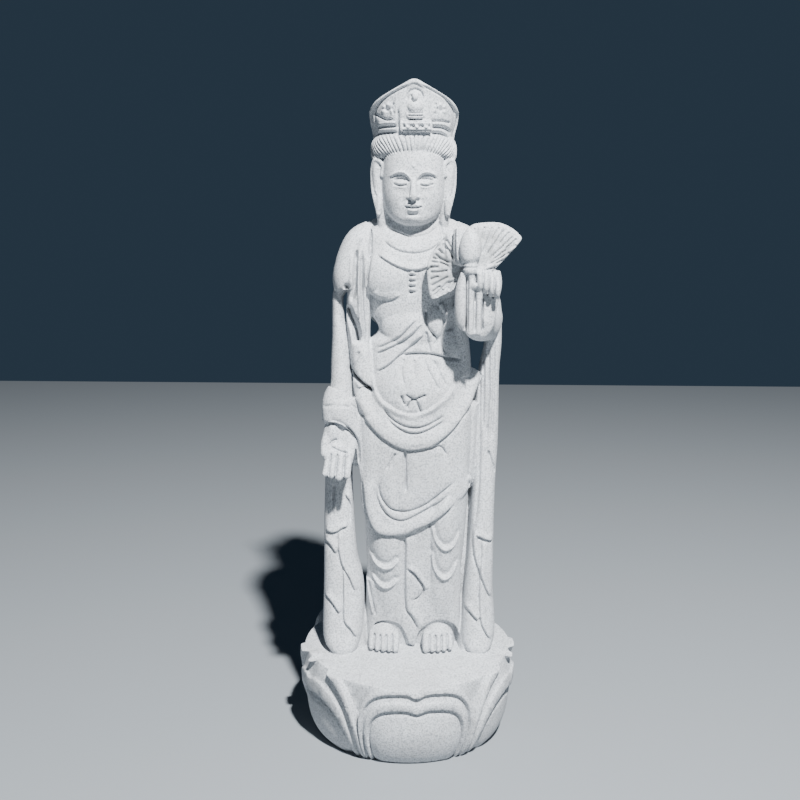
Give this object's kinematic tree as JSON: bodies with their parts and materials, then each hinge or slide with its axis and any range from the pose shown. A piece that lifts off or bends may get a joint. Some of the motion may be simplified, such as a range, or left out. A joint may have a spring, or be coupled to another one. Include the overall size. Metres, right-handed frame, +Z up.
{
  "type": "kannon statue",
  "caption": "Standing granite Kannon in a pointed crown and looped shawl, holding a lotus bud, on a round lotus pedestal with a flat underside.",
  "frame": {"origin": "middle of the pedestal's flat underside, on the ground", "axes": "+Z up, -Y the way the figure faces, +X towards the figure's own left hand, which holds the lotus"},
  "size_m": [0.4087, 0.4093, 1.1976],
  "materials": {
    "granite": "pale grey granite, dressed fine and unpolished, with dark and light grains a few millimetres apart"
  },
  "bodies": {
    "root": {"kannon_statue": "granite"}
  },
  "joints": []
}
